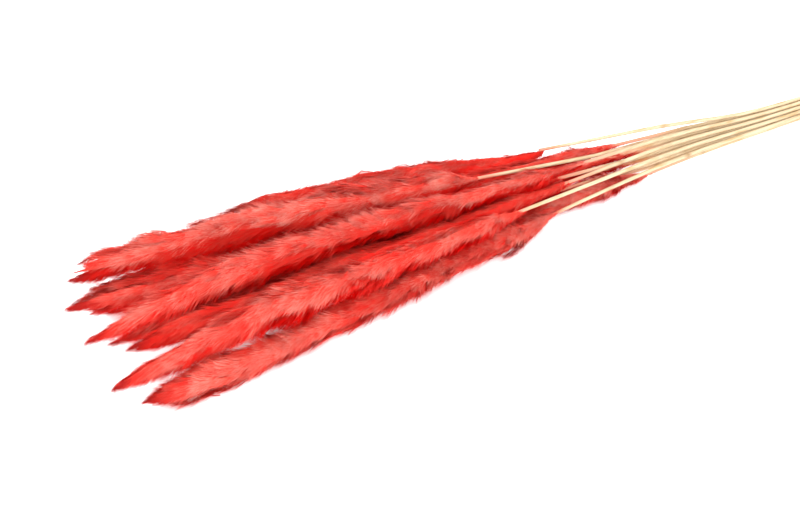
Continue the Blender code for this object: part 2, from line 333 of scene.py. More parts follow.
class Nodes:
    """Adds nodes to a tree."""

    def __init__(self, tree):
        self.tree = tree

    def add(self, kind, settings=(), sockets=()):
        """A node of this kind: its settings first, then the values or links of its sockets."""
        made = self.tree.nodes.new(kind)
        for name, value in dict(settings).items():
            setattr(made, name, value)
        for name, value in dict(sockets).items():
            self.feed(self.socket_named(made.inputs, name), value)
        return Value(self, next(socket for socket in made.outputs if socket.enabled))

    def socket_named(self, sockets, name):
        if isinstance(name, int):
            return sockets[name]
        return next(socket for socket in sockets if socket.name == name and socket.enabled)

    def output_named(self, node, name):
        return Value(self, self.socket_named(node.outputs, name))

    def feed(self, socket, value):
        """Link or set a socket. A list of node outputs is joined into one socket."""
        if isinstance(value, (list, tuple)) and value and isinstance(value[0], Value):
            for one in value:
                self.tree.links.new(one.socket, socket)
        elif isinstance(value, Value):
            self.tree.links.new(value.socket, socket)
        else:
            socket.default_value = value

    def maths(self, operation, first, second=0.0):
        return self.add("ShaderNodeMath", {"operation": operation}, {0: first, 1: second})

    def vector_maths(self, operation, first, second=(0.0, 0.0, 0.0)):
        return self.add("ShaderNodeVectorMath", {"operation": operation}, {0: first, 1: second})

    def unit(self, vector):
        """The vector's direction, at length 1."""
        return self.vector_maths("NORMALIZE", vector)

    def square_to(self, first, second):
        """The direction that is square to both."""
        return self.unit(self.vector_maths("CROSS_PRODUCT", first, second))

    def scaled(self, vector, amount):
        return self.add("ShaderNodeVectorMath", {"operation": "SCALE"},
                        {"Vector": vector, "Scale": amount})

    def vector(self, x, y, z):
        return self.add("ShaderNodeCombineXYZ", (), {"X": x, "Y": y, "Z": z})

    def parts(self, vector):
        """The X, Y and Z of a vector."""
        split = self.add("ShaderNodeSeparateXYZ", (), {"Vector": vector})
        return split, split.output("Y"), split.output("Z")

    def between(self, low, high, value, start=0.0, end=1.0, smooth=False):
        """The value's place between low and high, as a number from start to end."""
        settings = {"interpolation_type": "SMOOTHSTEP" if smooth else "LINEAR"}
        return self.add("ShaderNodeMapRange", settings, {
            "Value": value, "From Min": low, "From Max": high, "To Min": start, "To Max": end})

    def mixed(self, factor, first, second):
        """A colour between first and second."""
        colours = [one if isinstance(one, Value) else (*one, 1.0) for one in (first, second)]
        return self.add("ShaderNodeMix", {"data_type": "RGBA"}, {
            "Factor": factor, "A": colours[0], "B": colours[1]})

    def random(self, low, high, seed, number=None):
        sockets = {"Min": low, "Max": high, "Seed": seed}
        if number is not None:
            sockets["ID"] = number
        return self.add("FunctionNodeRandomValue", {"data_type": "FLOAT"}, sockets)

    def noise(self, place, detail=2.0, roughness=0.5):
        """Smooth noise at a place, as a number near 0.5."""
        return self.add("ShaderNodeTexNoise", {"noise_dimensions": "3D"}, {
            "Vector": place, "Scale": 1.0, "Detail": detail, "Roughness": roughness})

    def stored(self, geometry, name, value, kind="FLOAT", domain="POINT"):
        """The geometry with this value kept on it under a name."""
        return self.add("GeometryNodeStoreNamedAttribute", {"data_type": kind, "domain": domain}, {
            "Geometry": geometry, "Name": name, "Value": value})

    def attribute(self, name, kind="FLOAT"):
        return self.add("GeometryNodeInputNamedAttribute", {"data_type": kind}, {"Name": name})


def new_geometry_tree(name, inputs):
    """An empty tree with a Geometry input, the named inputs, and a Geometry output."""
    tree = bpy.data.node_groups.new(name, "GeometryNodeTree")
    tree.interface.new_socket(name="Geometry", in_out="INPUT", socket_type="NodeSocketGeometry")
    tree.interface.new_socket(name="Geometry", in_out="OUTPUT", socket_type="NodeSocketGeometry")
    for label, (kind, value) in inputs.items():
        socket = tree.interface.new_socket(name=label, in_out="INPUT", socket_type=kind)
        if value is not None:
            socket.default_value = value
    nodes = Nodes(tree)
    entry = nodes.add("NodeGroupInput")
    given = {label: entry.output(label) for label in ["Geometry", *inputs]}
    return nodes, given


def finish_tree(nodes, geometry):
    leaving = nodes.tree.nodes.new("NodeGroupOutput")
    nodes.tree.links.new(geometry.socket, leaving.inputs[0])


def grown(name, source, tree, inputs):
    """A plain mesh piece, made from the source's mesh by a node tree with these inputs."""
    modifier = source.modifiers.new("Growth", "NODES")
    modifier.node_group = tree
    for item in tree.interface.items_tree:
        if item.item_type == "SOCKET" and item.in_out == "INPUT" and item.name in inputs:
            modifier[item.identifier] = inputs[item.name]
    depsgraph = bpy.context.evaluated_depsgraph_get()
    evaluated = source.evaluated_get(depsgraph)
    mesh = bpy.data.meshes.new_from_object(
        evaluated, preserve_all_data_layers=True, depsgraph=depsgraph)
    mesh.name = name
    look = mesh.materials[-1]
    mesh.materials.clear()
    mesh.materials.append(look)
    bpy.data.objects.remove(source)
    piece = bpy.data.objects.new(name, mesh)
    bpy.context.scene.collection.objects.link(piece)
    return piece


def line_object(name, places, attributes):
    """A mesh of points joined by edges, with one number per point for each attribute."""
    mesh = bpy.data.meshes.new(name)
    edges = [(first, first + 1) for first in range(len(places) - 1)]
    mesh.from_pydata([tuple(place) for place in places], edges, [])
    for label, numbers in attributes.items():
        attribute = mesh.attributes.new(label, "FLOAT", "POINT")
        attribute.data.foreach_set("value", np.asarray(numbers, dtype=np.float32))
    line = bpy.data.objects.new(name, mesh)
    bpy.context.scene.collection.objects.link(line)
    return line


def rings_of(node):
    """Centre and reach of each ring of a CAD plume or stem, in the order of X."""
    places = np.array([vertex.co[:] for vertex in node.data.vertices])
    rounded = np.round(places[:, 0], 5)
    centres = []
    reaches = []
    for x in sorted(set(rounded)):
        ring = np.unique(np.round(places[rounded == x], 6), axis=0)
        centre = ring.mean(axis=0)
        centres.append(centre)
        reaches.append(np.linalg.norm(ring - centre, axis=1).max())
    return np.array(centres), np.array(reaches)


def places_at(xs, centres):
    """The places on the line through these centres that have these X."""
    ys, zs = [np.interp(xs, centres[:, 0], centres[:, axis]) for axis in (1, 2)]
    return np.column_stack((xs, ys, zs))


# Camera


def place_camera():
    data = bpy.data.cameras.new("camera")
    data.lens = CAMERA_LENS
    data.clip_start = 0.01
    camera = bpy.data.objects.new("camera", data)
    camera.location = CAMERA_PLACE
    camera.rotation_euler = (
        math.radians(90 - CAMERA_ELEVATION), 0.0, math.radians(CAMERA_AZIMUTH))
    bpy.context.scene.collection.objects.link(camera)
    bpy.context.scene.camera = camera


# Materials


def new_material(name, **constants):
    """A material with these constants set on its shader."""
    material = bpy.data.materials.new(name)
    material.use_nodes = True
    nodes = Nodes(material.node_tree)
    shader = material.node_tree.nodes["Principled BSDF"]
    for label, value in constants.items():
        shader.inputs[label.replace("_", " ")].default_value = value
    return material, nodes, shader


def hair_material():
    """Dyed hairs: deep red at the root, coral along the hair and paler at its tip, the paler tip
    partly a painted highlight; hair in painted shade turns a deep, strong red.
    """
    material, nodes, shader = new_material(
        "dyed_hair", Roughness=0.6, Specular_IOR_Level=0.05)
    place = nodes.add("ShaderNodeUVMap", {"uv_map": "OFBake"})
    tone, along, _ = nodes.parts(place)
    deep, root, body, pale = [
        nodes.mixed(tone, *dyes) for dyes in (PAINTED_SHADE_COLOURS, ROOT_DYE, BODY_DYE, PALE_DYE_AND_HIGHLIGHT)]
    # The second UV number drops in painted shade, where the colour turns to the painted shade
    # colour
    colour = nodes.mixed(nodes.between(*PAINTED_SHADE_TO_ROOT, along), deep, root)
    colour = nodes.mixed(nodes.between(*ROOT_TO_BODY, along, smooth=True), colour, body)
    colour = nodes.mixed(nodes.between(*BODY_TO_PALE, along, smooth=True), colour, pale)
    colour = nodes.mixed(nodes.between(0.0, TIP_TONE, tone), DARK_TIP_DYE, colour)
    nodes.feed(shader.inputs["Base Color"], colour)
    return material


def reed_material():
    """Dry reed: cream with fine tan streaks along it, dye near the plume, a scar at its joint."""
    material, nodes, shader = new_material("dry_reed", Specular_IOR_Level=0.35)
    place = nodes.add("ShaderNodeTexCoord").output("Object")
    streaks = nodes.noise(place * STREAKS_PER_METRE, 3.0, 0.6)
    patches = nodes.noise(place * TAN_PATCHES_PER_METRE, 2.0)
    dye, scar, inside = [
        nodes.add("ShaderNodeAttribute", {"attribute_name": name}).output("Fac")
        for name in ("dye", "scar", "inside")]
    colour = nodes.mixed(nodes.between(0.35, 0.65, streaks), *STRAW_COLOURS)
    colour = nodes.mixed(nodes.between(0.52, 0.75, patches), colour, TAN_COLOUR)
    colour = nodes.mixed(scar * 0.75, colour, SCAR_COLOUR)
    soaked = nodes.maths("MINIMUM", dye * nodes.between(0.3, 0.7, streaks, 0.7, 1.3), 1.0)
    colour = nodes.mixed(soaked, colour, SOAKED_COLOUR)
    colour = nodes.mixed(inside, colour, INSIDE_COLOUR)
    nodes.feed(shader.inputs["Base Color"], colour)
    nodes.feed(shader.inputs["Roughness"], nodes.between(0.3, 0.7, streaks, 0.62, 0.42))
    return material


def rubber_material():
    """Natural rubber: dull tan with faint darker specks."""
    material, nodes, shader = new_material("rubber", Specular_IOR_Level=0.4)
    place = nodes.add("ShaderNodeTexCoord").output("Object")
    cloud = nodes.noise(place * CLOUDS_PER_METRE, 3.0)
    specks = nodes.noise(place * SPECKS_PER_METRE, 1.0)
    colour = nodes.mixed(nodes.between(0.35, 0.65, cloud), *RUBBER_COLOURS)
    colour = nodes.mixed(nodes.between(0.62, 0.72, specks), colour, SPECK_COLOUR)
    nodes.feed(shader.inputs["Base Color"], colour)
    nodes.feed(shader.inputs["Roughness"], nodes.between(0.35, 0.65, cloud, 0.55, 0.72))
    return material


# Hairs


def wisp_mesh(name, random):
    """A few hairs that leave one spot together. Z runs from the root to the tips, Y is outward."""
    vertices = []
    faces = []
    along = []
    for number in range(HAIRS_PER_WISP):
        share = number / (HAIRS_PER_WISP - 1) - 0.5
        root = np.array((
            share * WISP_BREADTH + random.normal() * ROOT_SCATTER[0],
            random.normal() * ROOT_SCATTER[1],
            random.uniform(-ROOT_STEP, ROOT_STEP)))
        spread = np.array((
            share * WISP_BREADTH + random.normal() * TIP_SCATTER,
            random.normal() * TIP_SCATTER,
            0.0))
        length = 1.0 - EDGE_SHORTNESS * abs(share) - random.uniform(0.0, SHORTNESS)
        width = random.uniform(*HAIR_WIDTHS)
        side = np.array((width, width * random.normal() * HAIR_TWIST, 0.0))
        end = root + spread + np.array((0.0, 0.0, length))
        first = len(vertices)
        vertices += [root - side, root + side, end]
        along += [0.0, 0.0, 1.0]
        faces.append((first + 1, first, first + 2))
    mesh = bpy.data.meshes.new(name)
    mesh.from_pydata([tuple(vertex) for vertex in vertices], [], faces)
    attribute = mesh.attributes.new("along", "FLOAT", "POINT")
    attribute.data.foreach_set("value", np.array(along, dtype=np.float32))
    return mesh


def wisp_collection():
    """The kinds of wisp, as objects in a collection of their own."""
    random = np.random.default_rng(5)
    collection = bpy.data.collections.new("wisps")
    for number in range(WISP_KINDS):
        name = f"wisp_{number}"
        collection.objects.link(bpy.data.objects.new(name, wisp_mesh(name, random)))
    return collection


# Plumes


def close_to_tip(nodes, from_tip):
    """1 at the tip of the plume and 0 further down."""
    return nodes.between(*TIP_RISE, from_tip, 1.0, 0.0, smooth=True)


def risen(nodes, given, from_foot, whole):
    """How far the plume's tip or foot stands above its middle line at this place."""
    past_foot = from_foot - given["Fuzz"]
    close_to_foot = nodes.between(*FOOT_RISE, past_foot, 1.0, 0.0, smooth=True)
    close_to_foot = close_to_foot * nodes.between(*FOOT_EDGE, past_foot)
    at_tip = given["Tip rise"] * close_to_tip(nodes, whole - from_foot)
    return at_tip + given["Foot rise"] * close_to_foot


def lock_roots(nodes, given, whole):
    """One point for each lock, which keeps where the lock starts and ends and how it stands."""
    seed = given["Seed"]
    index = nodes.add("GeometryNodeInputIndex")
    share = (index + 0.5) / given["Locks"]
    own_length = given["Lock length"] * nodes.random(*LOCK_LENGTHS, seed, index)
    first_end = given["Lock length"] * FIRST_LOCK
    end = first_end + (whole - first_end) * share ** LOCK_SPACING
    end = end + nodes.random(-LOCK_SCATTER, LOCK_SCATTER, seed + 1, index)
    end = nodes.maths("MINIMUM", end, whole)
    start = nodes.maths("MAXIMUM", end - own_length, 0.0)
    turn = index * GOLDEN_ANGLE + nodes.random(-TURN_SCATTER, TURN_SCATTER, seed + 2, index)
    chance = nodes.random(0.0, 1.0, seed + 12, index)
    stray = nodes.maths("GREATER_THAN", chance, STRAYS_ABOVE)
    stand = nodes.random(*LOCK_STANDS, seed + 3, index) + stray * STRAY_STAND
    roots = nodes.add("GeometryNodePoints", (), {"Count": given["Locks"]})
    roots = nodes.stored(roots, "start", start)
    roots = nodes.stored(roots, "finish", end)
    roots = nodes.stored(roots, "turn", turn)
    roots = nodes.stored(roots, "stand", stand)
    return nodes.stored(roots, "lock_tone", nodes.random(0.0, 1.0, seed + 4, index))


def lock_reach(nodes, given, outward, place, progress):
    """How far a lock stands off the middle line, before the plume's own girth at its ends."""
    opening = LOCK_OPENING + (1.0 - (1.0 - progress) ** LOCK_BEND) * (1.0 - LOCK_OPENING)
    bulge = nodes.noise((place + outward * LUMP_OFFSET + given["Shift"]) * LUMPS_PER_METRE)
    lumps = 1.0 + (bulge - 0.5) * given["Lumps"]
    return given["Lock reach"] * nodes.attribute("stand") * opening * lumps


def end_girth(nodes, given, from_foot, from_tip):
    """The plume's girth against the usual, which differs near its tip, its foot and in its fuzz."""
    past_foot = from_foot - given["Fuzz"]
    girth = nodes.between(*POINT, from_tip, POINT_GIRTH, 1.0)
    girth = girth * nodes.between(*NEAR_TIP, from_tip, given["Tip girth"], 1.0)
    girth = girth * nodes.between(*NEAR_FOOT, past_foot, given["Foot girth"], 1.0)
    girth = girth * nodes.between(*FOOT_TAPER, past_foot, given["Foot taper"], 1.0)
    return girth * nodes.between(*FUZZ_START, past_foot * -1.0, 1.0, given["Fuzz girth"])


def grow_locks(nodes, given, line, whole):
    """Locks that leave the middle line, bend along it towards the tip and stand off it."""
    unit = nodes.add("GeometryNodeMeshLine", {"mode": "END_POINTS", "count_mode": "TOTAL"}, {
        "Count": LOCK_POINTS, "Start Location": (0.0, 0.0, 0.0), "Offset": (1.0, 0.0, 0.0)})
    locks = nodes.add("GeometryNodeInstanceOnPoints", (), {
        "Points": lock_roots(nodes, given, whole), "Instance": unit})
    locks = nodes.add("GeometryNodeRealizeInstances", (), {"Geometry": locks})

    # X counts from the root of a lock to its end
    x, _, _ = nodes.parts(nodes.add("GeometryNodeInputPosition"))
    locks = nodes.stored(locks, "progress", x)
    progress = nodes.attribute("progress")
    start = nodes.attribute("start")
    from_foot = start + (nodes.attribute("finish") - start) * progress
    on_line = nodes.add("GeometryNodeSampleCurve", {
        "mode": "LENGTH", "data_type": "FLOAT", "use_all_curves": True}, {
        "Curves": line, "Value": nodes.attribute("reach"), "Length": from_foot})
    place = on_line.output("Position")
    tangent = nodes.unit(on_line.output("Tangent"))
    sideways = nodes.square_to(tangent, (0.0, 0.0, 1.0))
    upward = nodes.vector_maths("CROSS_PRODUCT", sideways, tangent)
    turn = nodes.attribute("turn")
    outward = sideways * nodes.maths("COSINE", turn) + upward * nodes.maths("SINE", turn)
    from_tip = whole - from_foot
    away = on_line * lock_reach(nodes, given, outward, place, progress)
    away = away * end_girth(nodes, given, from_foot, from_tip)

    # A forked tip has its upper and lower locks apart
    fork = nodes.maths("SIGN", nodes.maths("SINE", turn)) * given["Fork"]
    fork = fork * close_to_tip(nodes, from_tip) ** 2.0
    raised = nodes.vector(0.0, 0.0, risen(nodes, given, from_foot, whole) + fork)
    locks = nodes.stored(locks, "reach", on_line)
    locks = nodes.stored(locks, "from_foot", from_foot)
    locks = nodes.stored(locks, "outward", outward, "FLOAT_VECTOR")
    return nodes.add("GeometryNodeSetPosition", (), {
        "Geometry": locks, "Position": place + outward * away + raised})


def wisp_direction(nodes, given, along_lock, outward, fullness, loose):
    """A wisp leans out of its lock, and neighbouring wisps are swept the same way."""
    seed = given["Seed"]
    across = nodes.square_to(along_lock, outward)
    lift = given["Hair lift"] * nodes.random(*HAIR_LIFTS, seed + 5)
    lift = lift * (SPARSE_LIFT + loose * (1.0 - SPARSE_LIFT))
    swing = nodes.random(-HAIR_SWING, HAIR_SWING, seed + 6)
    aside = outward * nodes.maths("COSINE", swing) + across * nodes.maths("SINE", swing)
    here = nodes.add("GeometryNodeInputPosition")
    sweep = nodes.noise((here + given["Shift"]) * SWEEPS_PER_METRE, 1.0).output("Color")
    swept = LEAST_SWEEP + fullness * (1.0 - LEAST_SWEEP)
    return nodes.unit(
        along_lock * nodes.maths("COSINE", lift) + aside * nodes.maths("SINE", lift)
        + (sweep - (0.5, 0.5, 0.5)) * (given["Sweep"] * swept))


def wisp_rotation(nodes, given, along_lock, outward, direction):
    """A wisp's flat side faces outward, and upward on the upper side of the plume."""
    across = nodes.square_to(along_lock, outward)
    roll = nodes.random(-HAIR_ROLL, HAIR_ROLL, given["Seed"] + 7)
    facing = outward * nodes.maths("COSINE", roll) + across * nodes.maths("SINE", roll)
    upper = nodes.between(*TURNED_SIDE, nodes.parts(outward)[2], 0.0, UPWARD_TURN)
    return nodes.add("FunctionNodeAxesToRotation", {
        "primary_axis": "Z", "secondary_axis": "Y"}, {
        "Primary Axis": direction, "Secondary Axis": facing + nodes.vector(0.0, 0.0, upper)})


def wisp_size(nodes, given, fullness, from_foot, from_tip):
    """Wisps are shorter where the plume is thin, at its tip and at the end of its fuzz."""
    least = nodes.between(*TIP_HAIR, from_tip, *TIP_HAIR_LEAST)
    size = given["Hair length"] * nodes.random(*HAIR_LENGTHS, given["Seed"] + 8)
    size = size * (least + fullness * (1.0 - least))
    size = size * nodes.between(*FUZZ_END, from_foot, FUZZ_END_SIZE, 1.0)
    return size * nodes.between(*SHORT_HAIR, from_tip, SHORT_HAIR_SIZE, 1.0)


def wisp_tone(nodes, given, from_tip):
    """The paleness of a wisp's dye, which ends in a dark tip of the plume."""
    here = nodes.add("GeometryNodeInputPosition")
    patch = nodes.noise((here + given["Shift"]) * PATCHES_PER_METRE) - 0.5
    lock_tone = (nodes.attribute("lock_tone") - 0.5) * LOCK_TONES
    # The plume's paleness is the dye's own tone, and on the plumes deep in the pile also painted
    # shade
    tone = given["Paleness and shade"] + lock_tone + patch * given["Patches"]
    own_tone = nodes.random(-WISP_TONES, WISP_TONES, given["Seed"] + 9)
    tone = tone + own_tone * nodes.between(*TIP_WISPS, from_tip, TIP_WISP_TONES, 1.0)
    return nodes.maths("MAXIMUM", tone, TIP_TONE) * nodes.between(*DARK_TIP, from_tip)


def wisp_shade(nodes, given, middle, outward, from_tip):
    """Painted shade: hair that presses against the next plume, hangs underneath or lies near the
    tip gets a lower shade number and so a darker painted colour, and hair on the upper side is
    painted lighter.
    """
    others = nodes.add("GeometryNodeObjectInfo", (), {
        "Object": given["Neighbours"]}).output("Geometry")
    gap = nodes.add("GeometryNodeProximity", {"target_element": "FACES"}, {
        "Geometry": others, "Sample Position": middle}).output("Distance")
    up = nodes.parts(outward)[2]
    shade = nodes.between(*NEIGHBOUR_GAP, gap, given["Least shown"], 1.0, smooth=True)
    shade = nodes.maths("MAXIMUM", shade, nodes.between(*UPPER_SIDE, up, 0.0, UPPER_SHOWN))
    shade = shade * nodes.between(*LOWER_SIDE, up, given["Underside"], 1.0)
    return shade * nodes.between(*SHADED_TIP, from_tip, TIP_SHOWN, 1.0)


def thinned(nodes, given, spots, from_foot, in_fuzz):
    """The spots with fewer left towards the end of the fuzz."""
    loss = nodes.between(0.0, 1.0, from_foot / given["Fuzz"], given["Thinning"], FUZZ_THINNING)
    chance = nodes.random(0.0, 1.0, given["Seed"] + 14)
    return nodes.add("GeometryNodeDeleteGeometry", {"domain": "POINT"}, {
        "Geometry": spots, "Selection": nodes.maths("GREATER_THAN", in_fuzz * loss, chance)})


def grow_wisps(nodes, given, locks, whole):
    """Wisps of hair along every lock."""
    lock_lines = nodes.add("GeometryNodeMeshToCurve", (), {"Mesh": locks})
    spots = nodes.add("GeometryNodeCurveToPoints", {"mode": "COUNT"}, {
        "Curve": lock_lines, "Count": given["Wisps per lock"]})
    along_lock = nodes.unit(spots.output("Tangent"))
    outward = nodes.unit(nodes.attribute("outward", "FLOAT_VECTOR"))
    from_foot = nodes.attribute("from_foot")
    from_tip = whole - from_foot
    past_foot = from_foot - given["Fuzz"]
    loose_foot = nodes.between(*LOOSE_FOOT, past_foot, FOOT_LOOSENESS, 0.0)
    loose_foot = loose_foot * nodes.between(*FOOT_EDGE, past_foot)
    fullness = nodes.between(SPARSE_REACH, FULL_REACH, nodes.attribute("reach"))
    fullness = nodes.maths("MAXIMUM", fullness, loose_foot)
    in_fuzz = nodes.between(*FUZZ_EDGE, past_foot * -1.0)
    loose = nodes.maths("MAXIMUM", fullness, in_fuzz * FUZZ_LOOSENESS)
    direction = wisp_direction(nodes, given, along_lock, outward, fullness, loose)
    rotation = wisp_rotation(nodes, given, along_lock, outward, direction)
    size = wisp_size(nodes, given, fullness, from_foot, from_tip)
    middle = nodes.add("GeometryNodeInputPosition") + direction * (size * 0.5)
    spots = nodes.stored(spots, "tone", wisp_tone(nodes, given, from_tip))
    spots = nodes.stored(spots, "shade", wisp_shade(nodes, given, middle, outward, from_tip))
    spots = nodes.stored(spots, "even", (1.0 - fullness) * 0.5)
    spots = nodes.stored(spots, "soft_normal", outward, "FLOAT_VECTOR")
    spots = thinned(nodes, given, spots, from_foot, in_fuzz)
    kinds = nodes.add("GeometryNodeCollectionInfo", (), {
        "Collection": given["Wisps"], "Separate Children": True, "Reset Children": True})
    kind = nodes.add("FunctionNodeRandomValue", {"data_type": "INT"}, {
        "Min": 0, "Max": WISP_KINDS - 1, "Seed": given["Seed"] + 10})
    hair = nodes.add("GeometryNodeInstanceOnPoints", (), {
        "Points": spots, "Instance": kinds, "Pick Instance": True, "Instance Index": kind,
        "Rotation": rotation, "Scale": nodes.vector(size, size, size)})
    hair = nodes.add("GeometryNodeRealizeInstances", (), {"Geometry": hair})
    sag = given["Sag"] * nodes.attribute("along") ** SAG_BEND
    return nodes.add("GeometryNodeSetPosition", (), {
        "Geometry": hair, "Offset": nodes.vector(0.0, 0.0, sag * -1.0)})


def grow_core(nodes, given, line, whole):
    """The dense middle of the plume, which thins out before both its ends."""
    ring = nodes.add("GeometryNodeCurvePrimitiveCircle", (), {
        "Resolution": CORE_SIDES, "Radius": 1.0})
    place = nodes.add("GeometryNodeSplineParameter").output("Length")
    closed = nodes.between(*CLOSED_TIP, whole - place)
    closed = closed * nodes.between(*CLOSED_FOOT, place - given["Fuzz"])
    radius = nodes.attribute("reach") * given["Core"] * closed
    core = nodes.add("GeometryNodeSetPosition", (), {
        "Geometry": line, "Offset": nodes.vector(0.0, 0.0, risen(nodes, given, place, whole))})
    core = nodes.add("GeometryNodeCurveToMesh", (), {
        "Curve": core, "Profile Curve": ring, "Fill Caps": True,
        "Scale": nodes.maths("MAXIMUM", radius, LEAST_CORE)})
    core = nodes.stored(core, "tone", CORE_TONE)
    core = nodes.stored(core, "along", CORE_TONE)
    return nodes.stored(core, "shade", 1.0)


def kept_in_place(nodes, plume, seed):
    """The plume with no hair below the surface, and none far outside the box of the solids."""
    x, y, z = nodes.parts(nodes.add("GeometryNodeInputPosition"))
    least, most = cad_bounds
    y = nodes.maths("MAXIMUM", y, y * SIDE_EASE + least[1] * (1.0 - SIDE_EASE))
    y = nodes.maths("MINIMUM", y, y * SIDE_EASE + most[1] * (1.0 - SIDE_EASE))
    z = nodes.maths("MINIMUM", z, z * TOP_EASE + most[2] * (1.0 - TOP_EASE))
    z = nodes.maths("MAXIMUM", z, nodes.random(*LOWEST, seed + 11))
    return nodes.add("GeometryNodeSetPosition", (), {
        "Geometry": plume, "Position": nodes.vector(x, y, z)})


def plume_tree(material):
    """A plume's middle line, dressed with locks of hair that lie towards its tip."""
    nodes, given = new_geometry_tree("plume", {
        "Locks": ("NodeSocketInt", LOCK_COUNT),
        "Lock length": ("NodeSocketFloat", LOCK_LENGTH),
        "Lock reach": ("NodeSocketFloat", 0.66),
        "Wisps per lock": ("NodeSocketInt", WISPS_PER_LOCK),
        "Hair length": ("NodeSocketFloat", HAIR_LENGTH),
        "Hair lift": ("NodeSocketFloat", 0.36),
        "Sweep": ("NodeSocketFloat", 1.15),
        "Sag": ("NodeSocketFloat", USUAL_SAG),
        "Core": ("NodeSocketFloat", 0.50),
        "Seed": ("NodeSocketInt", 0),
        "Fuzz": ("NodeSocketFloat", 0.0),
        "Thinning": ("NodeSocketFloat", 0.9),
        "Fuzz girth": ("NodeSocketFloat", 1.0),
        "Tip girth": ("NodeSocketFloat", 1.0),
        "Tip rise": ("NodeSocketFloat", 0.0),
        "Foot girth": ("NodeSocketFloat", 1.55),
        "Foot taper": ("NodeSocketFloat", 0.55),
        "Foot rise": ("NodeSocketFloat", 0.0),
        "Fork": ("NodeSocketFloat", 0.0),
        "Lumps": ("NodeSocketFloat", 1.15),
        "Patches": ("NodeSocketFloat", 1.2),
        "Paleness and shade": ("NodeSocketFloat", 0.5),
        # Underside and Least shown set how light the painted shade stays underneath a plume and in
        # the gaps between plumes
        "Underside": ("NodeSocketFloat", 0.12),
        "Least shown": ("NodeSocketFloat", 0.03),
        "Shift": ("NodeSocketVector", None),
        "Wisps": ("NodeSocketCollection", None),
        "Neighbours": ("NodeSocketObject", None),
    })
    line = nodes.add("GeometryNodeMeshToCurve", (), {"Mesh": given["Geometry"]})
    whole = nodes.add("GeometryNodeCurveLength", (), {"Curve": line})
    hair = grow_wisps(nodes, given, grow_locks(nodes, given, line, whole), whole)
    core = grow_core(nodes, given, line, whole)
    plume = nodes.add("GeometryNodeJoinGeometry", (), {"Geometry": [hair, core]})
    plume = kept_in_place(nodes, plume, given["Seed"])

    # Where the hair is short, its dye varies less from root to tip
    even = nodes.attribute("even")
    shown = nodes.attribute("along") * (1.0 - even) + even
    shown = ROOT_SHOWN + shown * (1.0 - ROOT_SHOWN)
    # The second number is the place along the hair scaled by the painted shade
    dye = nodes.vector(nodes.attribute("tone"), shown * nodes.attribute("shade"), 0.0)
    plume = nodes.stored(plume, "OFBake", dye, "FLOAT2", "CORNER")
    plume = nodes.add("GeometryNodeSetMaterial", (), {"Geometry": plume, "Material": material})
    finish_tree(nodes, plume)
    return nodes.tree


def drop_attributes(mesh, kept):
    """Leave only the named attributes and Blender's own on a mesh."""
    for name in [attribute.name for attribute in mesh.attributes]:
        attribute = mesh.attributes[name]
        if name not in kept and not attribute.is_internal and not attribute.is_required:
            mesh.attributes.remove(attribute)


def joined_copy(name, things):
    """One mesh object made of the faces of all these things."""
    vertices = []
    faces = []
    for thing in things:
        first = len(vertices)
        vertices += [vertex.co[:] for vertex in thing.data.vertices]
        faces += [[first + corner for corner in face.vertices] for face in thing.data.polygons]
    mesh = bpy.data.meshes.new(name)
    mesh.from_pydata(vertices, [], faces)
    joined = bpy.data.objects.new(name, mesh)
    bpy.context.scene.collection.objects.link(joined)
    return joined


def soften(mesh):
    """Turn the normals of the hairs outward from the plume, so that it shades as one fur."""
    count = len(mesh.vertices)
    own = np.empty(count * 3, dtype=np.float32)
    mesh.vertex_normals.foreach_get("vector", own)
    outward = np.empty(count * 3, dtype=np.float32)
    mesh.attributes["soft_normal"].data.foreach_get("vector", outward)
    own = own.reshape(-1, 3)
    outward = outward.reshape(-1, 3)
    is_hair = np.linalg.norm(outward, axis=1) > 0.5
    mixed = np.where(is_hair[:, None], own * (1.0 - SOFTNESS) + outward * SOFTNESS, own)
    mixed /= np.maximum(np.linalg.norm(mixed, axis=1), 1e-6)[:, None]
    mesh.normals_split_custom_set_from_vertices(mixed)


def rings_with_fuzz(plume, stem, fuzz):
    """Centre and reach of the plume's rings, and of more along its stem as far as the fuzz goes."""
    centres, reaches = rings_of(plume)
    stem_centres, _ = rings_of(stem)
    xs = centres[-1, 0] + np.linspace(1.0 / FUZZ_RINGS, 1.0, FUZZ_RINGS) * fuzz
    centres = np.vstack((centres, places_at(xs, stem_centres)))
    return centres, np.concatenate((reaches, np.linspace(*FUZZ_REACH, FUZZ_RINGS)))


def make_plumes():
    tree = plume_tree(hair_material())
    wisps = wisp_collection()
    plumes = [frame["nodes"][f"plume_{number:02d}"] for number in range(1, PLUME_COUNT + 1)]
    for number, node in enumerate(plumes, 1):
        fuzz = OWN_FUZZ.get(number, FOOT_FUZZ)
        centres, reaches = rings_with_fuzz(node, frame["nodes"][f"stem_{number:02d}"], fuzz)
        line = line_object("middle_line", centres[::-1], {"reach": reaches[::-1]})
        neighbours = joined_copy("neighbours", [plume for plume in plumes if plume != node])
        hidden = number in HIDDEN_PLUMES
        piece = grown(f"plume_{number:02d}_hair", line, tree, {
            "Seed": number * 100,
            "Wisps": wisps,
            "Neighbours": neighbours,
            "Shift": (number * 0.37, number * 0.23, number * 0.11),
            "Fuzz": fuzz,
            "Wisps per lock": HIDDEN_WISPS_PER_LOCK if hidden else WISPS_PER_LOCK,
            **HABITS.get(number, {})})
        bpy.data.objects.remove(neighbours)
        soften(piece.data)
        drop_attributes(piece.data, ("OFBake", "custom_normal"))
        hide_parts(node.name)
        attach(piece, "root")
    for thing in list(wisps.objects):
        bpy.data.objects.remove(thing)
    bpy.data.collections.remove(wisps)


# Stems and band


